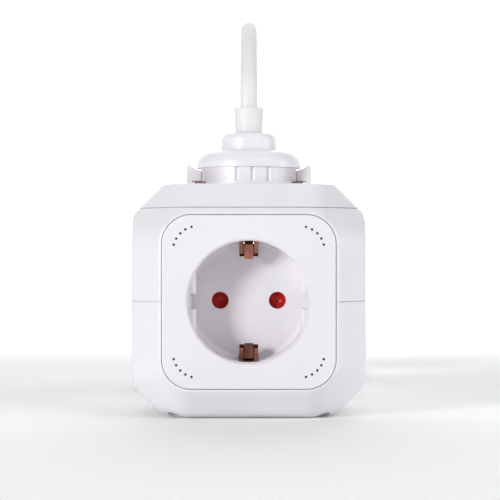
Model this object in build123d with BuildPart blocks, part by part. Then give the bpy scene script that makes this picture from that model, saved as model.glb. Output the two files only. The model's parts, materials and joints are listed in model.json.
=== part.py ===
"""Cube-shaped extension block: four recessed earthed sockets, a latched cord head on top, cord and plug.

Millimetres, +Z up, front socket towards -Y, origin at the middle of the cube's underside.
"""
from build123d import *
from math import cos, pi, radians, sin, tan
import os

os.makedirs("parts", exist_ok=True)

# Driving dimensions of the cube
CUBE = 77.0
HALF = CUBE / 2
BEVEL = 9.8
CORNER_SUM = 89.5
CORNER_ROUND = 12.0
SIDE_EDGE_ROUND = 3.0
TOP_EDGE_ROUND = 0.8
BASE_EDGE_ROUND = 10.0
SEAM_HALF_Z = 38.5
SEAM_CAP_Z = 69.0
SEAM_HALF_GAP = 0.13
SEAM_INSET = 0.45
CAVITY_HALF = 34.0
CAVITY_BEVEL = 4.5
CAVITY_CORNER_SUM = 86.6
RIB_LIMIT = (36.3, 7.0, 87.6)
CAVITY_FLOOR = 3.0
CAVITY_TOP = 74.5

# Socket moulding, measured from its front face inwards
PLATE = 56.2
PLATE_CORNER = 9.6
PLATE_THICK = 4.5
PLATE_GAP = 0.15
FLANGE = 58.4
FLANGE_BACK = 6.5
RECESS_R = 19.9
RECESS_LOWER_R = 19.7
RECESS_DEPTH = 17.5
FLOOR_THICK = 2.0
FLOOR_BEVEL = 1.2
CUP_R = 21.4
CUP_BEVEL = 2.6
LEDGE_X = 17.2
LEDGE_DEPTH = 3.5
LEDGE_BREAK = 0.9
NOTCH_X = 18.9
NOTCH_WIDTH = 5.0
PIN_SPACING = 19.0
PIN_HOLE_R = 2.85
EARTH_SLOT_WIDTH = 6.3
EARTH_SLOT_R = 14.6
EARTH_SLOT_DEPTH = 4.0
VENT_R = 0.4
VENT_DEPTH = 4.0
VENT_ARC_R = 8.0
VENT_ARC_CENTRE = 16.4
VENT_STEP = 15.2

# Parts behind the socket floor
PIVOT_R = 2.0
PIVOT_END = 22.8
ROTOR_R = 13.0
ROTOR_FRONT = 19.6
ROTOR_BACK = 21.4
SHUTTER_TURN = 38.0
NOTCH_TURN = 69.5
CARRIER_R = 12.85
CARRIER_FRONT = 22.9
CARRIER_BACK = 24.5
POST_X, POST_Y, POST_R = 4.4, 11.0, 1.8
STRIP_BACK = 25.3
STRIP_WIDTH = 5.0
ARM_R = 18.4
ARM_LIP_R = 19.4
ARM_WIDTH = 6.0
TONGUE_WIDTH = 2.9
TONGUE_SLIT = 0.35
SLEEVE_R = 3.0
SLEEVE_BORE = 2.45
SLEEVE_FRONT = 22.95
SLEEVE_BACK = 36.0
TAB_FRONT, TAB_BACK = 30.0, 33.0
SHEET = 0.8
POST_BORE_R = 0.9
POST_HOLE_R = 1.1
CARRIER_HEAD_R = 1.6
SHUTTER_HOLE_R = 2.9
SHUTTER_HUB_R = 5.0

# Busbars
LIVE_Z = 55.5
NEUTRAL_Z = 21.5
EARTH_Z = 60.0
BAR_THICK = 1.0
RISER_TOP = 66.0
BLADE_X = 5.0

# Tie screws
SCREW_XY = 24.0
SCREW_R = 1.5
SCREW_HEAD_R = 2.5
SCREW_HEAD_Z = 4.0
SCREW_TIP = 73.5
RIB_THICK = 2.0

# Head on top of the cube
DOCK_R = 14.2
DOCK_WALL = 1.8
DOCK_FOOT = 66.0
SPIGOT_R = 13.9
COLLAR_R = 17.2
COLLAR_RIB_R = 18.9
COLLAR_BASE = 77.15
COLLAR_RIB_TOP = 78.3
COLLAR_TOP = 83.2
COLLAR_FLAT = 16.1
COLLAR_WEB = 80.6
RIDGE_TURN = 4.7
RIDGE_STEP = 17.5
COVER_R = 17.9
COVER_TOP = 95.6
BOOT_FOOT = 88.0
BOOT_TOP = 104.2

# Latches beside the collar
LATCH_PIVOT_X, LATCH_PIVOT_Z = 20.2, 72.0
LATCH_WIDTH = 11.0
LATCH_PIN_R = 1.0
LATCH_SLOT = (18.7, 22.9)

# Cord and plug
CORD_D = 6.2
CORD_R = CORD_D / 2
CORD_START_Z = 84.2
COIL_Y = 88.0
COIL_MEAN_R = 33.0
COIL_WIDE = 3 * CORD_D
COIL_HIGH = 2 * CORD_D

SIDES = {
    "front": Plane(origin=(0, -HALF, HALF), x_dir=(1, 0, 0), z_dir=(0, -1, 0)),
    "right": Plane(origin=(HALF, 0, HALF), x_dir=(0, 0, 1), z_dir=(1, 0, 0)),
    "back": Plane(origin=(0, HALF, HALF), x_dir=(-1, 0, 0), z_dir=(0, 1, 0)),
    "left": Plane(origin=(-HALF, 0, HALF), x_dir=(0, 0, 1), z_dir=(-1, 0, 0)),
}
EAST_WEST = ("right", "left")


def save(piece, node):
    """Label a finished piece and write it as its own node."""
    piece.part.label = node
    export_step(piece.part, f"parts/{node}.step")


def beveled_block(half, bevel, corner_sum, low, high):
    """A cube with 45 degree bevels on its edges and a flat across each corner, between two levels."""
    with BuildPart() as block:
        Box(2 * half, 2 * half, 2 * half)
        chamfer(block.edges(), length=bevel)
        for sx in (-1, 1):
            for sy in (-1, 1):
                for sz in (-1, 1):
                    point = (sx * corner_sum / 3, sy * corner_sum / 3, sz * corner_sum / 3)
                    split(bisect_by=Plane(origin=point, z_dir=(sx, sy, sz)), keep=Keep.BOTTOM)
        with BuildSketch(Plane.XY.offset(low)):
            Rectangle(4 * half, 4 * half)
        extrude(amount=high - low, mode=Mode.INTERSECT)
    return block


# The outside of the cube, centred on the origin, then rounded
outside = beveled_block(HALF, BEVEL, CORNER_SUM, -HALF, HALF)
with outside:
    inner_edges = [e for e in outside.edges() if max(map(abs, tuple(e.center()))) < HALF - 0.1]
    fillet(inner_edges, radius=CORNER_ROUND)
    for direction in (Axis.X, Axis.Y):
        for pick in (-1, 0):
            fillet(outside.faces().sort_by(direction)[pick].edges(), radius=SIDE_EDGE_ROUND)
    fillet(outside.faces().sort_by(Axis.Z)[-1].edges(), radius=TOP_EDGE_ROUND)
    fillet(outside.faces().sort_by(Axis.Z)[0].edges(), radius=BASE_EDGE_ROUND)
inside = beveled_block(CAVITY_HALF, CAVITY_BEVEL, CAVITY_CORNER_SUM, CAVITY_FLOOR - HALF, CAVITY_TOP - HALF)
within_wall = beveled_block(*RIB_LIMIT, -HALF, HALF)

# A shallow groove runs round the outside where two shells meet
with BuildPart() as seam_grooves:
    for level in (SEAM_HALF_Z, SEAM_CAP_Z):
        with BuildSketch(Plane.XY.offset(level - SEAM_HALF_GAP)):
            Rectangle(2 * CUBE, 2 * CUBE)
        extrude(amount=2 * SEAM_HALF_GAP)
    with Locations((0, 0, HALF)):
        add(scale(outside.part, by=1 - SEAM_INSET / HALF, mode=Mode.PRIVATE), mode=Mode.SUBTRACT)


def wall_between(low, high):
    """The cube's wall between two levels, standing on z = 0, with its four socket openings."""
    with BuildPart() as wall:
        with Locations((0, 0, HALF)):
            add(outside.part)
            add(inside.part, mode=Mode.SUBTRACT)
        with BuildSketch(Plane.XY.offset(low)):
            Rectangle(2 * CUBE, 2 * CUBE)
        extrude(amount=high - low, mode=Mode.INTERSECT)
        add(seam_grooves.part, mode=Mode.SUBTRACT)
        for plane in SIDES.values():
            with BuildSketch(plane):
                RectangleRounded(PLATE + 2 * PLATE_GAP, PLATE + 2 * PLATE_GAP, PLATE_CORNER + PLATE_GAP)
            extrude(amount=-PLATE_THICK - 0.5, mode=Mode.SUBTRACT)
    return wall


def columns(low, high, radius, bore):
    """Screw columns in the four corners, each with a rib that ends inside the bevelled wall."""
    reach = (CAVITY_HALF + CAVITY_HALF - CAVITY_BEVEL) / 2 + 0.4
    with BuildPart() as posts:
        with BuildSketch(Plane.XY.offset(low)):
            for turn in range(45, 360, 90):
                with Locations(Location((0, 0, 0), (0, 0, turn))):
                    with Locations((SCREW_XY * 2**0.5, 0)):
                        Circle(radius)
                    with Locations(((SCREW_XY + reach) / 2 * 2**0.5, 0)):
                        Rectangle((reach - SCREW_XY) * 2**0.5, RIB_THICK)
            with GridLocations(2 * SCREW_XY, 2 * SCREW_XY, 2, 2):
                Circle(bore, mode=Mode.SUBTRACT)
        extrude(amount=high - low)
        with Locations((0, 0, HALF)):
            add(within_wall.part, mode=Mode.INTERSECT)
    return posts


def cylinders(points, radius, low, high, clipped=False):
    """Upright cylinders on the given points between two levels, kept within the wall if clipped."""
    with BuildPart() as rods:
        with BuildSketch(Plane.XY.offset(low)):
            with Locations(*points):
                Circle(radius)
        extrude(amount=high - low)
        if clipped:
            with Locations((0, 0, HALF)):
                add(within_wall.part, mode=Mode.INTERSECT)
    return rods.part


CORNERS = [(sx * SCREW_XY, sy * SCREW_XY) for sx in (-1, 1) for sy in (-1, 1)]
SCREW_HOLE_R = SCREW_R + 0.1
SEAT_R = 3.9
COLUMN_R = 2.5

# Lower shell, with the screw heads sunk into its underside
with BuildPart() as lower_shell:
    add(wall_between(0, SEAM_HALF_Z).part)
    add(columns(CAVITY_FLOOR - 0.5, SEAM_HALF_Z, COLUMN_R, SCREW_HOLE_R).part)
    add(cylinders(CORNERS, SEAT_R, CAVITY_FLOOR - 1, SCREW_HEAD_Z + 3, clipped=True))
    add(cylinders(CORNERS, SCREW_HOLE_R, 0, SEAM_HALF_Z), mode=Mode.SUBTRACT)
    add(cylinders(CORNERS, SCREW_HEAD_R + 0.2, -1, SCREW_HEAD_Z), mode=Mode.SUBTRACT)
save(lower_shell, "lower_shell")

with BuildPart() as upper_shell:
    add(wall_between(SEAM_HALF_Z, SEAM_CAP_Z).part)
    add(columns(SEAM_HALF_Z, SEAM_CAP_Z, COLUMN_R, SCREW_HOLE_R).part)
save(upper_shell, "upper_shell")

# Top cap: dock for the head, two latch slots with their pivot lugs, four screw bosses
with BuildPart() as top_cap:
    add(wall_between(SEAM_CAP_Z, CUBE).part)
    add(cylinders(CORNERS, SEAT_R, SEAM_CAP_Z, CAVITY_TOP + 0.5, clipped=True))
    with BuildSketch(Plane.XY.offset(DOCK_FOOT)):
        Circle(DOCK_R + DOCK_WALL)
    extrude(amount=CUBE - 1 - DOCK_FOOT)
    for sx in (-1, 1):
        for sy in (-1, 1):
            lug_y = sy * (LATCH_WIDTH / 2 + 0.4 + 1.0)
            with BuildSketch(Plane.XY.offset(LATCH_PIVOT_Z - 2.6)):
                with Locations((sx * LATCH_PIVOT_X, lug_y)):
                    Rectangle(5.0, 2.0)
            extrude(amount=CAVITY_TOP + 0.5 - LATCH_PIVOT_Z + 2.6)
    with BuildSketch(Plane.XY.offset(DOCK_FOOT)):
        Circle(DOCK_R)
        slot_x = (LATCH_SLOT[0] + LATCH_SLOT[1]) / 2
        with Locations((-slot_x, 0), (slot_x, 0)):
            Rectangle(LATCH_SLOT[1] - LATCH_SLOT[0], LATCH_WIDTH + 0.8)
    extrude(amount=CUBE - DOCK_FOOT, mode=Mode.SUBTRACT)
    with BuildSketch(Plane.XZ.offset(-LATCH_WIDTH)):
        with Locations((-LATCH_PIVOT_X, LATCH_PIVOT_Z), (LATCH_PIVOT_X, LATCH_PIVOT_Z)):
            Circle(LATCH_PIN_R)
    extrude(amount=2 * LATCH_WIDTH, mode=Mode.SUBTRACT)
    add(cylinders(CORNERS, SCREW_R + 0.02, SEAM_CAP_Z, SCREW_TIP + 0.3), mode=Mode.SUBTRACT)
save(top_cap, "top_cap")

# Four long screws clamp the two shells and the cap together
with BuildPart() as tie_screws:
    add(cylinders(CORNERS, SCREW_R, SCREW_HEAD_Z - 0.5, SCREW_TIP))
    with BuildSketch(Plane.XY.offset(SCREW_HEAD_Z - 2.4)):
        with Locations(*CORNERS):
            Circle(SCREW_HEAD_R)
            Rectangle(2.8, 0.7, mode=Mode.SUBTRACT)
            Rectangle(0.7, 2.8, mode=Mode.SUBTRACT)
    extrude(amount=1.2)
    add(cylinders(CORNERS, SCREW_HEAD_R, SCREW_HEAD_Z - 1.3, SCREW_HEAD_Z))
save(tie_screws, "tie_screws")

# ---- One socket, modelled about its own axis: z = 0 is the front face, -z is inwards ----
with BuildPart() as socket:
    with BuildSketch(Plane.XY.offset(-PLATE_THICK)):
        RectangleRounded(PLATE, PLATE, PLATE_CORNER)
    extrude(amount=PLATE_THICK)
    fillet(socket.faces().sort_by(Axis.Z)[-1].edges(), radius=0.5)
    with BuildSketch(Plane.XY.offset(-FLANGE_BACK)):
        RectangleRounded(FLANGE, FLANGE, PLATE_CORNER + 1.1)
    extrude(amount=FLANGE_BACK - PLATE_THICK)
    with BuildSketch(Plane.XZ):
        with BuildLine():
            back = RECESS_DEPTH + FLOOR_THICK
            Polyline((0, -FLANGE_BACK), (CUP_R, -FLANGE_BACK), (CUP_R, -back + CUP_BEVEL),
                     (CUP_R - CUP_BEVEL, -back), (0, -back), close=True)
        make_face()
    revolve(axis=Axis.Z)
    with BuildSketch(Plane.XZ):
        with BuildLine():
            Polyline((0, 0), (RECESS_R + 0.5, 0), (RECESS_R, -0.5), (RECESS_R, -LEDGE_DEPTH),
                     (RECESS_LOWER_R, -LEDGE_DEPTH), (RECESS_LOWER_R, FLOOR_BEVEL - RECESS_DEPTH),
                     (RECESS_LOWER_R - FLOOR_BEVEL, -RECESS_DEPTH), (0, -RECESS_DEPTH), close=True)
        make_face()
    revolve(axis=Axis.Z, mode=Mode.SUBTRACT)
    for sx in (-1, 1):
        with BuildSketch(Plane.XY.offset(-RECESS_DEPTH - 0.2)):
            Circle(RECESS_R + 0.6)
            with Locations((sx * (LEDGE_X - 30), 0)):
                Rectangle(60, 60, mode=Mode.SUBTRACT)
        extrude(amount=RECESS_DEPTH + 0.2 - LEDGE_DEPTH)
    straight = socket.edges().filter_by(Axis.Y)
    ledge_rims = straight.filter_by_position(Axis.Z, -LEDGE_DEPTH - 0.01, -LEDGE_DEPTH + 0.01)
    chamfer(ledge_rims, length=LEDGE_BREAK)
    for sx in (-1, 1):
        with BuildSketch(Plane.XY.offset(-RECESS_DEPTH)):
            with Locations((sx * (LEDGE_X + NOTCH_X - 0.2) / 2, 0)):
                Rectangle(NOTCH_X - LEDGE_X + 0.2, NOTCH_WIDTH)
        extrude(amount=RECESS_DEPTH - LEDGE_DEPTH + 0.1, mode=Mode.SUBTRACT)
    with BuildSketch(Plane.XY.offset(-RECESS_DEPTH - FLOOR_THICK)):
        with Locations((-PIN_SPACING / 2, 0), (PIN_SPACING / 2, 0)):
            Circle(PIN_HOLE_R)
    extrude(amount=FLOOR_THICK + 0.1, mode=Mode.SUBTRACT)
    for sy in (-1, 1):
        with BuildSketch(Plane.XY.offset(-RECESS_DEPTH - FLOOR_THICK - 1)):
            with Locations((0, sy * (EARTH_SLOT_R + RECESS_R + 0.2) / 2)):
                Rectangle(EARTH_SLOT_WIDTH, RECESS_R + 0.2 - EARTH_SLOT_R)
        extrude(amount=RECESS_DEPTH + FLOOR_THICK + 1 - EARTH_SLOT_DEPTH, mode=Mode.SUBTRACT)
    with BuildSketch(Plane.XY.offset(-PIVOT_END)):
        Circle(PIVOT_R)
    extrude(amount=PIVOT_END - RECESS_DEPTH - 0.5)
    with BuildSketch(Plane.XY.offset(-CARRIER_FRONT)):
        with Locations((POST_X, POST_Y), (-POST_X, -POST_Y)):
            Circle(POST_R)
    extrude(amount=CARRIER_FRONT - RECESS_DEPTH - 1)
    with BuildSketch(Plane.XY.offset(-CARRIER_FRONT - 1)):
        with Locations((POST_X, POST_Y), (-POST_X, -POST_Y)):
            Circle(POST_BORE_R)
    extrude(amount=3.5, mode=Mode.SUBTRACT)
    with BuildSketch(Plane.XY.offset(-VENT_DEPTH)):
        for quarter in range(4):
            corner_turn = 45 + 90 * quarter
            centre_x = VENT_ARC_CENTRE * 2**0.5 * cos(radians(corner_turn))
            centre_y = VENT_ARC_CENTRE * 2**0.5 * sin(radians(corner_turn))
            for step in range(-2, 3):
                turn = radians(corner_turn + step * VENT_STEP)
                with Locations((centre_x + VENT_ARC_R * cos(turn), centre_y + VENT_ARC_R * sin(turn))):
                    Circle(VENT_R)
    extrude(amount=VENT_DEPTH + 0.1, mode=Mode.SUBTRACT)

# Child-safety shutter: a rotor whose two lobes cover the pin holes until both pins push it round
with BuildPart() as shutter:
    with BuildSketch(Plane.XY.offset(-ROTOR_BACK)):
        Circle(ROTOR_R)
        for turn in (NOTCH_TURN, NOTCH_TURN + 180):
            with BuildLine():
                rim = [(22 * cos(radians(turn + a)), 22 * sin(radians(turn + a))) for a in (-50, 0, 50)]
                Polyline((0, 0), *rim, close=True)
            make_face(mode=Mode.SUBTRACT)
        Circle(SHUTTER_HUB_R)
        Circle(PIVOT_R + 0.05, mode=Mode.SUBTRACT)
        for turn in (-SHUTTER_TURN, 180 - SHUTTER_TURN):
            x, y = PIN_SPACING / 2 * cos(radians(turn)), PIN_SPACING / 2 * sin(radians(turn))
            with Locations((x, y)):
                Circle(SHUTTER_HOLE_R, mode=Mode.SUBTRACT)
    extrude(amount=ROTOR_BACK - ROTOR_FRONT)
    with Locations((-PIN_SPACING / 2, 0, 1.6 - ROTOR_FRONT), (PIN_SPACING / 2, 0, 1.6 - ROTOR_FRONT)):
        Sphere(2.7, mode=Mode.SUBTRACT)

# Flat spring between the rotor's hub and the carrier
with BuildPart() as shutter_spring:
    with BuildSketch(Plane.XY.offset(-CARRIER_FRONT + 0.1)):
        Circle(4.6)
        Circle(4.2, mode=Mode.SUBTRACT)
        with BuildLine():
            Polyline((0, 0), (8, -1.4), (8, 1.4), close=True)
        make_face(mode=Mode.SUBTRACT)
        with Locations((5.0, 1.1), (3.8, -1.0)):
            Rectangle(1.6, 0.4)
    extrude(amount=CARRIER_FRONT - ROTOR_BACK - 0.2)

# Carrier that holds the shutter and the two contact sleeves
with BuildPart() as carrier:
    with BuildSketch(Plane.XY.offset(-CARRIER_BACK)):
        Circle(CARRIER_R)
        with Locations((-PIN_SPACING / 2, 0), (PIN_SPACING / 2, 0)):
            Circle(SLEEVE_R + 0.05, mode=Mode.SUBTRACT)
        with Locations((POST_X, POST_Y), (-POST_X, -POST_Y)):
            Circle(POST_HOLE_R, mode=Mode.SUBTRACT)
    extrude(amount=CARRIER_BACK - CARRIER_FRONT)

with BuildPart() as carrier_screws:
    with BuildSketch(Plane.XY.offset(-CARRIER_BACK - 1.0)):
        with Locations((POST_X, POST_Y), (-POST_X, -POST_Y)):
            Circle(CARRIER_HEAD_R)
    extrude(amount=1.0)
    with BuildSketch(Plane.XY.offset(-CARRIER_BACK)):
        with Locations((POST_X, POST_Y), (-POST_X, -POST_Y)):
            Circle(0.85)
    extrude(amount=CARRIER_BACK - CARRIER_FRONT + 2.2)


def sleeve(x):
    """Sprung brass sleeve for one pin, slit along its outer side."""
    with BuildPart() as tube:
        with BuildSketch(Plane.XY.offset(-SLEEVE_BACK)):
            with Locations((x, 0)):
                Circle(SLEEVE_R)
                Circle(SLEEVE_BORE, mode=Mode.SUBTRACT)
            with Locations((x * 1.4, 0)):
                Rectangle(3.0, 0.7, mode=Mode.SUBTRACT)
        extrude(amount=SLEEVE_BACK - SLEEVE_FRONT)
    return tube


def contact(x, along_x, reach):
    """A sleeve with a flat tail out to its busbar, along x or along y of the socket."""
    with BuildPart() as made:
        add(sleeve(x).part)
        with BuildSketch(Plane.XY.offset(-TAB_BACK)):
            if along_x:
                length = reach - abs(x) - SLEEVE_BORE - 0.2
                with Locations(((reach - length / 2) * (1 if x > 0 else -1), 0)):
                    Rectangle(length, SHEET)
            else:
                length = abs(reach) - SLEEVE_BORE - 0.2
                with Locations((x, (abs(reach) - length / 2) * (1 if reach > 0 else -1))):
                    Rectangle(SHEET, length)
        extrude(amount=TAB_BACK - TAB_FRONT)
    return made


def bent_strip(stops, width, sign):
    """A sheet-metal strip bent through (distance from the socket's axis, depth) stops."""
    with BuildPart() as made:
        with BuildSketch(Plane.YZ.offset(-width / 2)):
            with BuildLine():
                Polyline(*[(sign * distance, -depth) for distance, depth in stops])
            trace(line_width=SHEET)
        extrude(amount=width)
    return made.part


def earth_contact(east_west):
    """Folded strip behind the carrier, an arm through each floor slot, and a sprung tongue on each arm."""
    back = STRIP_BACK - SHEET / 2
    flank = [(ARM_R, back), (ARM_R, 14.0), (16.0, 11.2), (17.5, 8.4), (ARM_LIP_R, 7.4), (ARM_LIP_R, 5.4)]
    tongue = [(ARM_R, 14.6), (14.2, 10.8), (14.2, 9.8), (18.6, 7.4)]
    with BuildPart() as made:
        with BuildSketch(Plane.XY.offset(-STRIP_BACK)):
            Rectangle(STRIP_WIDTH, 2 * ARM_R)
            for sy in (-1, 1):
                with Locations((0, sy * (ARM_R + SHEET / 2 + 14.5) / 2)):
                    Rectangle(ARM_WIDTH, ARM_R + SHEET / 2 - 14.5)
            if east_west:
                with Locations(((EARTH_Z - HALF) / 2, 6.0)):
                    Rectangle(EARTH_Z - HALF, 3.0)
            else:
                with Locations((0, (ARM_R + EARTH_Z - HALF) / 2)):
                    Rectangle(3.0, EARTH_Z - HALF - ARM_R)
        extrude(amount=SHEET)
        for sy in (-1, 1):
            add(bent_strip(flank, ARM_WIDTH, sy))
            with BuildSketch(Plane.YZ.offset(-TONGUE_WIDTH / 2 - TONGUE_SLIT)):
                with Locations((sy * ARM_R, -9.0)):
                    Rectangle(9.0, 9.4)
            extrude(amount=TONGUE_WIDTH + 2 * TONGUE_SLIT, mode=Mode.SUBTRACT)
            add(bent_strip(tongue, TONGUE_WIDTH, sy))
    return made


REACH_LIVE = LIVE_Z - HALF
REACH_NEUTRAL = HALF - NEUTRAL_Z
for side, plane in SIDES.items():
    east_west = side in EAST_WEST
    pin_x = PIN_SPACING / 2
    pieces = {
        "socket": socket,
        "shutter": shutter,
        "shutter_spring": shutter_spring,
        "contact_carrier": carrier,
        "earth_contact": earth_contact(east_west),
        "live_contact": (contact(pin_x, True, REACH_LIVE) if east_west
                         else contact(-pin_x, False, REACH_LIVE)),
        "neutral_contact": (contact(-pin_x, True, REACH_NEUTRAL) if east_west
                            else contact(pin_x, False, -REACH_NEUTRAL)),
    }
    for name, piece in pieces.items():
        with BuildPart() as placed:
            with Locations(plane.location):
                add(piece.part)
        save(placed, f"{name}_{side}")
with BuildPart() as all_carrier_screws:
    for plane in SIDES.values():
        with Locations(plane.location):
            add(carrier_screws.part)
save(all_carrier_screws, "carrier_screws")


# ---- Busbars, stacked on the vertical axis between the four sets of contacts ----
TAB_MID = HALF - (TAB_FRONT + TAB_BACK) / 2


def busbar(base_z, sign, riser_x, riser_low):
    """A flat bar under or over the four tails of one polarity, with a riser up to the head."""
    arm_x = PIN_SPACING / 2
    with BuildPart() as bar:
        with BuildSketch(Plane.XY.offset(base_z)):
            Rectangle(20.0, 4.4)
            for turn in (-1, 1):
                with Locations((-sign * turn * arm_x, -turn * TAB_MID / 2 - turn * 0.8)):
                    Rectangle(3.0, TAB_MID + 1.6)
            if sign > 0:
                Rectangle(5.0, 2.4, mode=Mode.SUBTRACT)
        extrude(amount=BAR_THICK)
        with BuildSketch(Plane.XY.offset(riser_low)):
            with Locations((riser_x, 0)):
                Rectangle(3.0, SHEET)
        extrude(amount=RISER_TOP - riser_low)
    return bar


live_busbar = busbar(LIVE_Z, 1, -BLADE_X, LIVE_Z + BAR_THICK)
save(live_busbar, "live_busbar")
neutral_busbar = busbar(NEUTRAL_Z - BAR_THICK, -1, 0, NEUTRAL_Z)
save(neutral_busbar, "neutral_busbar")

strip_at = HALF - STRIP_BACK + SHEET / 2
with BuildPart() as earth_busbar:
    with BuildSketch(Plane.XY.offset(EARTH_Z)):
        Rectangle(2 * strip_at + 2.0, 16.0)
        Rectangle(5.0, 2 * strip_at + 2.0)
        with Locations((-3.0, 0)):
            Rectangle(11.0, 4.0, mode=Mode.SUBTRACT)
    extrude(amount=BAR_THICK)
    with BuildSketch(Plane.XY.offset(EARTH_Z)):
        with Locations((BLADE_X, 0)):
            Rectangle(3.0, SHEET)
    extrude(amount=RISER_TOP - EARTH_Z)
save(earth_busbar, "earth_busbar")

# ---- Head: collar with a plug-in foot, cover, boot, clamp, blades and wires ----
CLAMP_THICK = 2.4
CLAMP_SCREW_X = 7.2
CLAMP_SCREW_R = 1.05
CLAMP_HEAD_R = 1.8
BLADE_WIDTH = 3.0
BLADE_DROP = 4.0
RIDGE_GROOVE_R = 1.0
with BuildPart() as head_collar:
    with BuildSketch(Plane.XZ):
        with BuildLine():
            Polyline((0, RISER_TOP + 2), (SPIGOT_R, RISER_TOP + 2), (SPIGOT_R, COLLAR_BASE),
                     (COLLAR_RIB_R, COLLAR_BASE), (COLLAR_RIB_R, COLLAR_RIB_TOP),
                     (COLLAR_R, COLLAR_RIB_TOP), (COLLAR_R, COLLAR_TOP), (0, COLLAR_TOP), close=True)
        make_face()
    revolve(axis=Axis.Z)
    with BuildSketch(Plane.XY.offset(RISER_TOP + 1)):
        Circle(SPIGOT_R - 2.0)
    extrude(amount=COLLAR_WEB - RISER_TOP - 1, mode=Mode.SUBTRACT)
    with BuildSketch(Plane.XY.offset(COLLAR_RIB_TOP)):
        for sx in (-1, 1):
            with Locations((sx * (COLLAR_FLAT + 5), 0)):
                Rectangle(10, 40)
        for front in (-90, 90):
            for step in (-1, 0, 1):
                with Locations(Location((0, 0, 0), (0, 0, front + RIDGE_TURN + step * RIDGE_STEP))):
                    with Locations((COLLAR_R + 0.3, 0)):
                        Circle(RIDGE_GROOVE_R)
    extrude(amount=COLLAR_TOP - COLLAR_RIB_TOP, mode=Mode.SUBTRACT)
    with BuildSketch(Plane.XY.offset(COLLAR_WEB - 1)):
        with Locations((-BLADE_X, SHEET), (0, SHEET), (BLADE_X, SHEET)):
            Rectangle(BLADE_WIDTH + 0.2, SHEET + 0.2)
    extrude(amount=COLLAR_TOP - COLLAR_WEB + 2, mode=Mode.SUBTRACT)
save(head_collar, "head_collar")

with BuildPart() as head_cover:
    with BuildSketch(Plane.XZ):
        with BuildLine():
            Line((4.95, COLLAR_TOP), (COVER_R, COLLAR_TOP))
            Line((COVER_R, COLLAR_TOP), (COVER_R, 84.8))
            ThreePointArc((COVER_R, 84.8), (16.9, 87.2), (14.6, 88.7))
            Line((14.6, 88.7), (9.9, 89.6))
            Line((9.9, 89.6), (9.5, 92.4))
            ThreePointArc((9.5, 92.4), (8.9, 94.5), (7.0, COVER_TOP - 0.3))
            Polyline((7.0, COVER_TOP - 0.3), (4.95, COVER_TOP), (4.95, COLLAR_TOP))
        make_face()
    revolve(axis=Axis.Z)
    with BuildSketch(Plane.XZ):
        with BuildLine():
            Polyline((0, COLLAR_TOP), (15.4, COLLAR_TOP), (15.4, 85.2), (13.0, 86.9), (7.8, 87.9),
                     (7.4, 92.6), (0, 92.6), close=True)
        make_face()
    revolve(axis=Axis.Z, mode=Mode.SUBTRACT)
save(head_cover, "head_cover")

with BuildPart() as bend_relief:
    with BuildSketch(Plane.XZ):
        with BuildLine():
            Polyline((CORD_R + 0.05, BOOT_FOOT), (7.0, BOOT_FOOT), (7.0, 92.5), (4.75, 92.5),
                     (4.75, COVER_TOP), (5.2, BOOT_TOP - 0.6))
            ThreePointArc((5.2, BOOT_TOP - 0.6), (5.05, BOOT_TOP - 0.15), (4.6, BOOT_TOP))
            Polyline((4.6, BOOT_TOP), (CORD_R + 0.05, BOOT_TOP), (CORD_R + 0.05, BOOT_FOOT))
        make_face()
    revolve(axis=Axis.Z)
save(bend_relief, "bend_relief")

with BuildPart() as cord_clamp:
    with BuildSketch(Plane.XY.offset(COLLAR_TOP)):
        RectangleRounded(20.0, 9.0, 2.0)
        Circle(CORD_R + 0.05, mode=Mode.SUBTRACT)
        with Locations((-CLAMP_SCREW_X, 0), (CLAMP_SCREW_X, 0)):
            Circle(CLAMP_SCREW_R + 0.05, mode=Mode.SUBTRACT)
    extrude(amount=CLAMP_THICK)
    with BuildSketch(Plane.XY.offset(COLLAR_TOP)):
        Rectangle(12.0, 4.0)
    extrude(amount=CORD_START_Z - COLLAR_TOP, mode=Mode.SUBTRACT)
save(cord_clamp, "cord_clamp")

with BuildPart() as clamp_screws:
    with BuildSketch(Plane.XY.offset(COLLAR_TOP)):
        with Locations((-CLAMP_SCREW_X, 0), (CLAMP_SCREW_X, 0)):
            Circle(CLAMP_SCREW_R)
    extrude(amount=CLAMP_THICK)
    with BuildSketch(Plane.XY.offset(COLLAR_TOP + CLAMP_THICK)):
        with Locations((-CLAMP_SCREW_X, 0), (CLAMP_SCREW_X, 0)):
            Circle(CLAMP_HEAD_R)
    extrude(amount=1.0)
save(clamp_screws, "clamp_screws")

for name, x in (("live_blade", -BLADE_X), ("neutral_blade", 0), ("earth_blade", BLADE_X)):
    with BuildPart() as blade:
        with BuildSketch(Plane.XY.offset(RISER_TOP - BLADE_DROP)):
            with Locations((x, SHEET)):
                Rectangle(BLADE_WIDTH, SHEET)
        extrude(amount=COLLAR_TOP - RISER_TOP + BLADE_DROP)
    save(blade, name)

WIRE_R = 0.9


def inner_wire(x):
    """One core of the cord, from its end up to a blade."""
    with BuildPart() as wire:
        with BuildSketch(Plane(origin=(x, SHEET, COLLAR_TOP))):
            Circle(WIRE_R)
        with BuildSketch(Plane(origin=(x * 0.38, 0, CORD_START_Z))):
            Circle(WIRE_R)
        loft()
    return wire.part


with BuildPart() as inner_wires:
    for x in (-BLADE_X, 0, BLADE_X):
        add(inner_wire(x))
save(inner_wires, "inner_wires")

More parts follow.
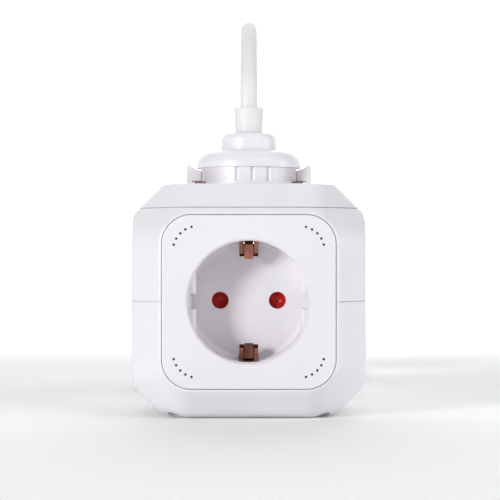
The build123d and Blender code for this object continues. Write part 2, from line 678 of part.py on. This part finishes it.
# ---- Latches: a hook block, a stem through the cap and a tail against its spring ----
NOSE_X, STEM_X, WING_X = 16.3, (19.3, 21.3), 20.4
NOSE_Z = (78.7, 82.4)
LATCH_FOOT = 68.0
LATCH_EYE_R = 1.45
LATCH_PIN_OVERHANG = 2.3
LEAF_WIDTH = 6.0
for side, sx in (("left", -1), ("right", 1)):
    with BuildPart() as latch:
        with BuildSketch(Plane.XZ.offset(-LATCH_WIDTH / 2)):
            with BuildLine():
                outline = [(STEM_X[0], LATCH_FOOT), (STEM_X[0], NOSE_Z[0]), (NOSE_X, NOSE_Z[0]),
                           (NOSE_X, NOSE_Z[1]), (18.3, 82.9), (WING_X, 84.5), (21.0, 84.2), (21.4, 83.0),
                           (STEM_X[1], 78.0), (STEM_X[1], LATCH_FOOT)]
                Polyline(*[(sx * x, z) for x, z in outline], close=True)
            make_face()
            with Locations((sx * LATCH_PIVOT_X, LATCH_PIVOT_Z)):
                Circle(LATCH_EYE_R)
                Circle(LATCH_PIN_R + 0.05, mode=Mode.SUBTRACT)
        extrude(amount=LATCH_WIDTH)
        crown = latch.edges().filter_by(Axis.Y).filter_by_position(Axis.Z, 82.95, 85)
        fillet(crown, radius=0.25)
    save(latch, f"latch_{side}")
    with BuildPart() as pin:
        with BuildSketch(Plane.XZ.offset(-LATCH_WIDTH / 2 - LATCH_PIN_OVERHANG)):
            with Locations((sx * LATCH_PIVOT_X, LATCH_PIVOT_Z)):
                Circle(LATCH_PIN_R)
        extrude(amount=LATCH_WIDTH + 2 * LATCH_PIN_OVERHANG)
    save(pin, f"latch_pin_{side}")
    with BuildPart() as leaf:
        with BuildSketch(Plane.XZ.offset(-LEAF_WIDTH / 2)):
            with BuildLine():
                path = [(16.05, 67.4), (16.05, 66.6), (19.3, 68.4), (19.3, 70.2), (19.0, 70.2),
                        (19.0, 68.6), (16.35, 67.1), (16.35, 67.4)]
                Polyline(*[(sx * x, z) for x, z in path], close=True)
            make_face()
        extrude(amount=LEAF_WIDTH)
    save(leaf, f"latch_spring_{side}")

# ---- Cord: out of the boot, over and down behind the cube, into a coil, and on to the plug ----
CORD_ROUTE = [
    (0, 0, CORD_START_Z), (0, 0, 114), (0, 21.2, 135.2), (0, 51.2, 135.2), (0, 72.4, 114),
    (2, 72.5, 86), (13, 66, 67), (26, 58, 53), (31, 57, 34.6), (33, 66, 18.6), (33.5, 82, 9.3),
    (31, 100, 9.3),
]
TAIL_ROUTE = [(39.2, 83, 3.1), (38, 98, 6), (36, 113, 13), (33.5, 129, 18.5), (33.5, 144, 18.5)]


def cord_tube(points, name):
    """Straight runs joined by tangent arcs, each arc as large as its two runs allow."""
    stops = [Vector(*point) for point in points]
    radii = []
    for before, here, after in zip(stops, stops[1:], stops[2:]):
        into, out = here - before, after - here
        turn = into.get_angle(out)
        radii.append(0.45 * min(into.length, out.length) / tan(radians(turn / 2)))
    with BuildPart() as tube:
        with BuildLine() as route:
            FilletPolyline(*stops, radius=radii)
        with BuildSketch(Plane(origin=stops[0], z_dir=stops[1] - stops[0])):
            Circle(CORD_R)
        sweep(path=route.wires()[0])
    length = route.wires()[0].length
    area = pi * CORD_R**2
    print(name, "radii", [round(r, 1) for r in radii], "length", round(length, 1),
          "volume ratio", round(tube.part.volume / (area * length), 4))
    return tube


cord = cord_tube(CORD_ROUTE, "cord")
save(cord, "cord")
cord_tail = cord_tube(TAIL_ROUTE, "cord_tail")
save(cord_tail, "cord_tail")

with BuildPart() as cord_coil:
    with BuildSketch(Plane.XZ.offset(-COIL_Y)):
        with Locations((COIL_MEAN_R, COIL_HIGH / 2)):
            RectangleRounded(COIL_WIDE, COIL_HIGH, 2.9)
    revolve(axis=Axis((0, COIL_Y, 0), (0, 0, 1)))
save(cord_coil, "cord_coil")

with BuildPart() as cord_tie:
    with BuildSketch(Plane.XZ.offset(-COIL_Y - 4.0)):
        with Locations((-COIL_MEAN_R, COIL_HIGH / 2 + 0.65)):
            RectangleRounded(COIL_WIDE + 3.2, COIL_HIGH + 1.1, 2.0)
            Rectangle(COIL_WIDE + 1.0, COIL_HIGH + 2.4, mode=Mode.SUBTRACT)
        with Locations((-COIL_MEAN_R, COIL_HIGH + 0.65)):
            Rectangle(COIL_WIDE + 1.4, 1.1)
    extrude(amount=8.0)
save(cord_tie, "cord_tie")

# ---- Plug, lying on its side beyond the coil, pins away from the cube ----
PLUG_X, PLUG_Z, PLUG_R = 33.5, 18.5, 18.5
RELIEF_Y, BODY_Y, FACE_Y, PIN_TIP_Y = 144.0, 168.0, 204.0, 223.0
PLUG_PIN_R = 2.4
PLUG_SHANK_R = 2.0
CLIP_WIDTH = 6.0
PLUG_TAPER = 13.0
PIN_BURIED = 17.0
CLIP_LENGTH = 16.0
plug_plane = Plane(origin=(PLUG_X, BODY_Y, PLUG_Z), x_dir=(1, 0, 0), z_dir=(0, 1, 0))
with BuildPart() as plug_relief:
    with BuildSketch(plug_plane):
        Circle(6.2)
    with BuildSketch(plug_plane.offset(RELIEF_Y - BODY_Y)):
        Circle(4.2)
    loft()
save(plug_relief, "plug_relief")

with BuildPart() as plug_body:
    with BuildSketch(plug_plane):
        Circle(10.5)
    with BuildSketch(plug_plane.offset(PLUG_TAPER)):
        Circle(PLUG_R)
    loft()
    with BuildSketch(plug_plane.offset(PLUG_TAPER)):
        Circle(PLUG_R)
    extrude(amount=FACE_Y - BODY_Y - PLUG_TAPER)
    fillet(plug_body.faces().sort_by(Axis.Y)[-1].edges(), radius=0.8)
    with BuildSketch(plug_plane.offset(FACE_Y - BODY_Y)):
        for sx in (-1, 1):
            with Locations((0, sx * PLUG_R)):
                Rectangle(CLIP_WIDTH + 0.4, 4.6)
            with Locations((sx * PLUG_R, 0)):
                Rectangle(3.4, 5.4)
        with Locations((-PIN_SPACING / 2, 0), (PIN_SPACING / 2, 0)):
            Circle(PLUG_SHANK_R)
    extrude(amount=-PIN_BURIED, mode=Mode.SUBTRACT)
save(plug_body, "plug_body")

with BuildPart() as plug_pins:
    with BuildSketch(plug_plane.offset(FACE_Y - BODY_Y - PIN_BURIED)):
        with Locations((-PIN_SPACING / 2, 0), (PIN_SPACING / 2, 0)):
            Circle(PLUG_SHANK_R)
    extrude(amount=PIN_BURIED)
    with BuildSketch(plug_plane.offset(FACE_Y - BODY_Y)):
        with Locations((-PIN_SPACING / 2, 0), (PIN_SPACING / 2, 0)):
            Circle(PLUG_PIN_R)
    extrude(amount=PIN_TIP_Y - FACE_Y)
    fillet(plug_pins.faces().sort_by(Axis.Y)[-2:].edges(), radius=1.4)
save(plug_pins, "plug_pins")

with BuildPart() as plug_earth_clips:
    with BuildSketch(plug_plane.offset(FACE_Y - BODY_Y - PIN_BURIED + 0.2)):
        with Locations((0, PLUG_R - 2.0), (0, 2.0 - PLUG_R)):
            Rectangle(CLIP_WIDTH, 0.6)
    extrude(amount=CLIP_LENGTH)
save(plug_earth_clips, "plug_earth_clips")
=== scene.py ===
"""Looks of the socket cube: materials for every node, the cord on its spline, light, floor and camera."""
import json
import math
from math import cos, pi, sin

import bpy
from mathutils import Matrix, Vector


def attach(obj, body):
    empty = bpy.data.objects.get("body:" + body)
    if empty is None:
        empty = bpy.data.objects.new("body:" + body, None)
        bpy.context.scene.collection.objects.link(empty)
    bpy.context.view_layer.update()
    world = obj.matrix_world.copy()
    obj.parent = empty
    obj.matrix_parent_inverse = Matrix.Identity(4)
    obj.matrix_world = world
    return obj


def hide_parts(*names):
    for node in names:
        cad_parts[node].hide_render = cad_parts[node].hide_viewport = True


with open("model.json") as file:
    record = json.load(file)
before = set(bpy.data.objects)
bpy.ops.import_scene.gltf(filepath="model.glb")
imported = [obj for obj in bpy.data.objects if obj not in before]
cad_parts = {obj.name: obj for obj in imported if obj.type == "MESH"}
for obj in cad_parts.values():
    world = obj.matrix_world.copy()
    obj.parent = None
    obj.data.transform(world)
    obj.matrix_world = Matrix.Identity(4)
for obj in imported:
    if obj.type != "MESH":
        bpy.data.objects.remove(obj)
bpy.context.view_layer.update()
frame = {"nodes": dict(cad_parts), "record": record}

# Lengths named here are in millimetres unless a name or a comment says metres
MM = 0.001
HALF = 38.5
SHADER = "Principled BSDF"
nodes = frame["nodes"]

# ---- Camera, placed in metres, its lens and sensor in millimetres ----
CAMERA_BACK = 0.5835
CAMERA_HEIGHT = 0.0552
CAMERA_SIDE = 0.0004
LENS = 122.0
SENSOR = 36.0

camera_data = bpy.data.cameras.new("camera")
camera_data.lens = LENS
camera_data.sensor_width = SENSOR
camera = bpy.data.objects.new("camera", camera_data)
camera.location = (CAMERA_SIDE, -CAMERA_BACK, CAMERA_HEIGHT)
camera.rotation_euler = (math.radians(90), 0, 0)
bpy.context.scene.collection.objects.link(camera)
bpy.context.scene.camera = camera

# ---- Route of the mains cord ----
CORD_D = 6.2
CORD_ROUND_STEPS = 6
CORD_RUN_STEPS = 8
COIL_Y, COIL_MEAN_R = 88.0, 33.0
COIL_START = math.radians(10)
POINTS_PER_TURN = 16
EASE_FROM = 0.66
ROUTE = [
    (0, 0, 84.2), (0, 0, 104), (0, 0, 115), (0, 21.2, 135.1), (0, 51.2, 135.1), (0, 72.4, 114),
    (2, 72.5, 86), (13, 66, 67), (26, 58, 53), (31, 57, 34.6), (33, 66, 18.6), (33.5, 82, 9.3),
]
TAIL = [(38, 98, 6), (36, 113, 13), (33.5, 129, 18.5), (33.5, 144, 18.5)]
# (distance from the coil's middle ring, height above the floor) of each turn, in diameters
TURNS = [(0, 1.5), (-1, 1.5), (-1, 0.5), (0, 0.5), (1, 1.5), (1, 0.5)]


def coil_points():
    """Six turns, each easing over to the next turn's place in its last third."""
    found = []
    for number, (across, up) in enumerate(TURNS):
        after = TURNS[min(number + 1, len(TURNS) - 1)]
        for step in range(POINTS_PER_TURN):
            share = step / POINTS_PER_TURN
            ease = max(0.0, (share - EASE_FROM) / (1 - EASE_FROM))
            ease = ease * ease * (3 - 2 * ease)
            radius = COIL_MEAN_R + CORD_D * (across + (after[0] - across) * ease)
            height = CORD_D * (up + (after[1] - up) * ease)
            turn = COIL_START + 2 * pi * share
            found.append((radius * cos(turn), COIL_Y + radius * sin(turn), height))
    return found


def cord_curve(name, points):
    """One open NURBS spline through the route's control points, as thick as the cord."""
    data = bpy.data.curves.new(name, "CURVE")
    data.dimensions = "3D"
    data.bevel_depth = CORD_D / 2 * MM
    data.bevel_resolution = CORD_ROUND_STEPS
    data.resolution_u = CORD_RUN_STEPS
    spline = data.splines.new("NURBS")
    spline.points.add(len(points) - 1)
    for place, (x, y, z) in zip(spline.points, points):
        place.co = (x * MM, y * MM, z * MM, 1.0)
    spline.order_u = 3
    spline.use_endpoint_u = True
    piece = bpy.data.objects.new(name, data)
    bpy.context.scene.collection.objects.link(piece)
    return piece


# ---- Node helpers ----
NOISE_LOW, NOISE_HIGH = 0.3, 0.7


def new_material(name):
    """An empty node material with its Principled shader."""
    material = bpy.data.materials.new(name)
    material.use_nodes = True
    return material, material.node_tree, material.node_tree.nodes[SHADER]


def noise(tree, scale, detail=3.0):
    """Noise in object space, so that it stays with the piece."""
    coordinates = tree.nodes.new("ShaderNodeTexCoord")
    texture = tree.nodes.new("ShaderNodeTexNoise")
    texture.inputs["Scale"].default_value = scale
    texture.inputs["Detail"].default_value = detail
    tree.links.new(coordinates.outputs["Object"], texture.inputs["Vector"])
    return texture.outputs["Fac"]


def ramp(tree, factor, low, high):
    """A colour between two, by a factor."""
    node = tree.nodes.new("ShaderNodeValToRGB")
    for stop, position, colour in zip(node.color_ramp.elements, (NOISE_LOW, NOISE_HIGH), (low, high)):
        stop.position = position
        stop.color = (*colour, 1)
    tree.links.new(factor, node.inputs["Fac"])
    return node.outputs["Color"]


def spread(tree, factor, low, high):
    """A number between two, by a factor."""
    node = tree.nodes.new("ShaderNodeMapRange")
    node.inputs["From Min"].default_value = NOISE_LOW
    node.inputs["From Max"].default_value = NOISE_HIGH
    node.inputs["To Min"].default_value = low
    node.inputs["To Max"].default_value = high
    tree.links.new(factor, node.inputs["Value"])
    return node.outputs["Result"]


def bump(tree, shader, factor, strength, distance):
    """Fine relief from a factor."""
    node = tree.nodes.new("ShaderNodeBump")
    node.inputs["Strength"].default_value = strength
    node.inputs["Distance"].default_value = distance
    tree.links.new(factor, node.inputs["Height"])
    tree.links.new(node.outputs["Normal"], shader.inputs["Normal"])


def math_step(tree, operation, first, second=0.0):
    """One arithmetic step; each input is a number or another node's output."""
    node = tree.nodes.new("ShaderNodeMath")
    node.operation = operation
    for place, value in zip(node.inputs, (first, second)):
        if isinstance(value, (int, float)):
            place.default_value = value
        else:
            tree.links.new(value, place)
    return node.outputs[0]


def object_axes(tree):
    """The x, y and z of the object's own space, in metres."""
    coordinates = tree.nodes.new("ShaderNodeTexCoord")
    parts = tree.nodes.new("ShaderNodeSeparateXYZ")
    tree.links.new(coordinates.outputs["Object"], parts.inputs["Vector"])
    return parts.outputs["X"], parts.outputs["Y"], parts.outputs["Z"]


def blend_into_base(tree, mask, shade):
    """Lay a shade over the base colour where the mask is up."""
    base = tree.nodes[SHADER].inputs["Base Color"]
    mix = tree.nodes.new("ShaderNodeMix")
    mix.data_type = "RGBA"
    under, over = [place for place in mix.inputs if place.type == "RGBA"]
    tree.links.new(mask, mix.inputs["Factor"])
    tree.links.new(base.links[0].from_socket, under)
    over.default_value = (*shade, 1)
    result = next(place for place in mix.outputs if place.type == "RGBA")
    tree.links.new(result, base)


# ---- Materials ----
# Noise scales are per metre, grain heights in millimetres
PLASTIC_CLOUD, PLASTIC_GLOSS_CLOUD, PLASTIC_GRAIN = 35, 90, 2600
PLASTIC_IOR = 1.5
METAL_TARNISH, METAL_GLOSS_CLOUD, METAL_GRAIN = 160, 300, 900
PLASTIC_GRAIN_HEIGHT, METAL_GRAIN_HEIGHT = 0.04, 0.03
METAL_RELIEF = 0.1

# Painted shade in the vents, which lie outside a ring and inside a square about each socket's axis
VENT_SHADE_DEPTH = 0.3
VENT_FROM_AXIS = 24.0
VENT_REACH = 27.0
VENT_PAINTED_SHADE = (0.06, 0.045, 0.05)

# Painted shade: the collar greys between two distances from the middle, and its foot is painted red-brown
# shade below a height
COLLAR_SHADE_FROM, COLLAR_SHADE_TO = 9.0, 16.5
COLLAR_SHADE_SHARE, COLLAR_SHADE_GREY = 0.6, (0.36, 0.32, 0.33)
FOOT_X, FOOT_Z = 14.5, 78.5
FOOT_SHADE_SHARE, FOOT_SHADE_BROWN = 0.85, (0.20, 0.07, 0.06)


def plastic(name, low, high, rough, grain=PLASTIC_GRAIN, relief=0.12):
    """Moulded plastic: a faint cloudiness, uneven gloss and a fine spark-eroded grain."""
    material, tree, shader = new_material(name)
    tree.links.new(ramp(tree, noise(tree, PLASTIC_CLOUD), low, high), shader.inputs["Base Color"])
    tree.links.new(spread(tree, noise(tree, PLASTIC_GLOSS_CLOUD, 5), *rough), shader.inputs["Roughness"])
    bump(tree, shader, noise(tree, grain, 2), relief, PLASTIC_GRAIN_HEIGHT * MM)
    shader.inputs["IOR"].default_value = PLASTIC_IOR
    return material


def metal(name, low, high, rough):
    """Bare metal: tarnish in patches and fine rolling marks."""
    material, tree, shader = new_material(name)
    shader.inputs["Metallic"].default_value = 1.0
    tree.links.new(ramp(tree, noise(tree, METAL_TARNISH, 4), low, high), shader.inputs["Base Color"])
    tree.links.new(spread(tree, noise(tree, METAL_GLOSS_CLOUD, 4), *rough), shader.inputs["Roughness"])
    bump(tree, shader, noise(tree, METAL_GRAIN, 2), METAL_RELIEF, METAL_GRAIN_HEIGHT * MM)
    return material


def paint_vent_shade(material):
    """Painted shade: near-black walls inside the twenty vent holes of a socket plate."""
    tree = material.node_tree
    x, y, z = object_axes(tree)
    x, y = math_step(tree, "ABSOLUTE", x), math_step(tree, "ABSOLUTE", y)
    up = math_step(tree, "ABSOLUTE", math_step(tree, "SUBTRACT", z, HALF * MM))
    across = math_step(tree, "MINIMUM", x, y)
    depth = math_step(tree, "SUBTRACT", HALF * MM, math_step(tree, "MAXIMUM", x, y))
    squares = math_step(tree, "ADD", math_step(tree, "POWER", across, 2.0),
                        math_step(tree, "POWER", up, 2.0))
    from_axis = math_step(tree, "SQRT", squares)
    below = math_step(tree, "GREATER_THAN", depth, VENT_SHADE_DEPTH * MM)
    beyond = math_step(tree, "GREATER_THAN", from_axis, VENT_FROM_AXIS * MM)
    within = math_step(tree, "LESS_THAN", math_step(tree, "MAXIMUM", across, up), VENT_REACH * MM)
    mask = math_step(tree, "MULTIPLY", math_step(tree, "MULTIPLY", below, beyond), within)
    blend_into_base(tree, mask, VENT_PAINTED_SHADE)


def paint_collar_shade(material):
    """Painted shade on the collar, grey towards the latches and red-brown in the crevice at its foot."""
    tree = material.node_tree
    x, y, z = object_axes(tree)
    across = math_step(tree, "ABSOLUTE", x)
    towards = math_step(tree, "DIVIDE", math_step(tree, "SUBTRACT", across, COLLAR_SHADE_FROM * MM),
                        (COLLAR_SHADE_TO - COLLAR_SHADE_FROM) * MM)
    clamped = math_step(tree, "MINIMUM", math_step(tree, "MAXIMUM", towards, 0.0), 1.0)
    blend_into_base(tree, math_step(tree, "MULTIPLY", clamped, COLLAR_SHADE_SHARE), COLLAR_SHADE_GREY)
    foot = math_step(tree, "MULTIPLY", math_step(tree, "LESS_THAN", z, FOOT_Z * MM),
                     math_step(tree, "GREATER_THAN", across, FOOT_X * MM))
    blend_into_base(tree, math_step(tree, "MULTIPLY", foot, FOOT_SHADE_SHARE), FOOT_SHADE_BROWN)


shell_white = plastic("shell_white", (0.80, 0.785, 0.82), (0.83, 0.815, 0.85), (0.38, 0.46))
socket_white = plastic("socket_white", (0.80, 0.78, 0.82), (0.83, 0.81, 0.85), (0.34, 0.42))
# Painted shade inside the vent holes of the socket plates
paint_vent_shade(socket_white)
head_white = plastic("head_white", (0.83, 0.81, 0.86), (0.86, 0.84, 0.89), (0.26, 0.34), relief=0.06)
collar_white = plastic("collar_white", (0.83, 0.81, 0.86), (0.86, 0.84, 0.89), (0.30, 0.38), relief=0.06)
# Painted shade on the collar towards the latches and in the crevice at its foot
paint_collar_shade(collar_white)
cord_white = plastic("cord_white", (0.78, 0.765, 0.775), (0.82, 0.80, 0.81), (0.46, 0.56),
                     grain=1400, relief=0.03)
shutter_red = plastic("shutter_red", (0.42, 0.008, 0.006), (0.50, 0.012, 0.009), (0.24, 0.34))
shutter_red.node_tree.nodes[SHADER].inputs["Specular IOR Level"].default_value = 0.25
carrier_dark = plastic("carrier_dark", (0.03, 0.03, 0.034), (0.05, 0.05, 0.055), (0.45, 0.6))
wire_green = plastic("wire_green", (0.05, 0.22, 0.05), (0.08, 0.28, 0.06), (0.4, 0.5))
tie_black = plastic("tie_black", (0.02, 0.02, 0.022), (0.035, 0.035, 0.04), (0.45, 0.6), relief=0.3)
copper = metal("copper", (0.24, 0.095, 0.06), (0.52, 0.235, 0.165), (0.34, 0.5))
brass = metal("brass", (0.62, 0.44, 0.17), (0.74, 0.55, 0.25), (0.25, 0.4))
steel = metal("steel", (0.52, 0.53, 0.55), (0.63, 0.64, 0.66), (0.25, 0.38))
nickel = metal("nickel", (0.68, 0.66, 0.62), (0.76, 0.74, 0.70), (0.14, 0.24))

MATERIAL_OF_SLOT = {
    "shell_plastic": shell_white, "socket_plastic": socket_white, "head_plastic": head_white,
    "shutter_plastic": shutter_red, "carrier_plastic": carrier_dark, "earth_copper": copper,
    "contact_brass": brass, "spring_steel": steel, "screw_steel": steel, "cord_rubber": cord_white,
    "wire_plastic": wire_green, "tie_plastic": tie_black, "plug_rubber": cord_white, "pin_metal": nickel,
}
for subpart in frame["record"]["subparts"]:
    mesh = nodes[subpart["node"]].data
    mesh.materials.clear()
    mesh.materials.append(MATERIAL_OF_SLOT[subpart["material_slot"]])
nodes["head_collar"].data.materials[0] = collar_white

# ---- The cord, from its clamp over the back into its coil and on to the plug ----
mains_cord = cord_curve("mains_cord", ROUTE + coil_points() + TAIL)
mains_cord.data.materials.append(cord_white)
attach(mains_cord, "housing")
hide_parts("cord", "cord_coil", "cord_tail")


# ---- Studio, in metres and watts ----
FLOOR_WIDTH = 6.0
FLOOR_FRONT = -2.0
BACKDROP_Y = 2.6
BACKDROP_TOP = 2.5
BACKDROP_BEND = 0.8
BEND_STEPS = 12
FLOOR_ROUGH = 0.9
FLOOR_SPECULAR = 0.1
FLOOR_GLOW = 0.03
WORLD_STRENGTH = 0.09
CUBE_MIDDLE = (0, 0, 0.045)
BACKDROP_MIDDLE = (0, BACKDROP_Y, 0.6)
# name, place, point that it faces, width, power
LIGHTS = [
    ("key", (-0.94, -1.03, 0.35), CUBE_MIDDLE, 0.3, 12.2),
    ("right_panel", (1.5, -0.25, 0.35), CUBE_MIDDLE, 0.8, 8.0),
    ("upper_right", (0.9, -1.0, 0.9), CUBE_MIDDLE, 0.7, 5.6),
    ("top", (0.0, 0.5, 1.5), CUBE_MIDDLE, 1.6, 10.0),
    ("backdrop", (0, 1.2, 1.5), BACKDROP_MIDDLE, 2.0, 88),
]


def floor_paper():
    """Matt paper, very slightly uneven."""
    material, tree, shader = new_material("floor_paper")
    colour = ramp(tree, noise(tree, 3), (0.93, 0.93, 0.93), (0.95, 0.95, 0.95))
    tree.links.new(colour, shader.inputs["Base Color"])
    shader.inputs["Roughness"].default_value = FLOOR_ROUGH
    shader.inputs["Specular IOR Level"].default_value = FLOOR_SPECULAR
    shader.inputs["Emission Color"].default_value = (1, 1, 1, 1)
    shader.inputs["Emission Strength"].default_value = FLOOR_GLOW
    return material


def floor_and_back():
    """A pale floor that curves up into a backdrop far behind."""
    bend_y = BACKDROP_Y - BACKDROP_BEND
    profile = [(FLOOR_FRONT, 0.0), (bend_y, 0.0)]
    for step in range(1, BEND_STEPS):
        turn = pi / 2 * step / BEND_STEPS
        profile.append((bend_y + BACKDROP_BEND * sin(turn), BACKDROP_BEND * (1 - cos(turn))))
    profile += [(BACKDROP_Y, BACKDROP_BEND), (BACKDROP_Y, BACKDROP_TOP)]
    vertices = [(x, y, z) for y, z in profile for x in (-FLOOR_WIDTH / 2, FLOOR_WIDTH / 2)]
    faces = [(2 * i, 2 * i + 1, 2 * i + 3, 2 * i + 2) for i in range(len(profile) - 1)]
    mesh = bpy.data.meshes.new("floor")
    mesh.from_pydata(vertices, [], faces)
    for face in mesh.polygons:
        face.use_smooth = True
    mesh.materials.append(floor_paper())
    piece = bpy.data.objects.new("floor", mesh)
    bpy.context.scene.collection.objects.link(piece)


def area_light(name, place, target, size, power):
    """A soft box that looks at a point."""
    data = bpy.data.lights.new(name, "AREA")
    data.shape = "SQUARE"
    data.size = size
    data.energy = power
    light = bpy.data.objects.new(name, data)
    light.location = place
    light.rotation_euler = (Vector(target) - Vector(place)).to_track_quat("-Z", "Y").to_euler()
    bpy.context.scene.collection.objects.link(light)


floor_and_back()
for light in LIGHTS:
    area_light(*light)
world = bpy.data.worlds.new("studio")
world.use_nodes = True
background = world.node_tree.nodes["Background"]
background.inputs["Color"].default_value = (1, 1, 1, 1)
background.inputs["Strength"].default_value = WORLD_STRENGTH
bpy.context.scene.world = world
bpy.context.scene.view_settings.view_transform = "Standard"

bpy.context.view_layer.update()
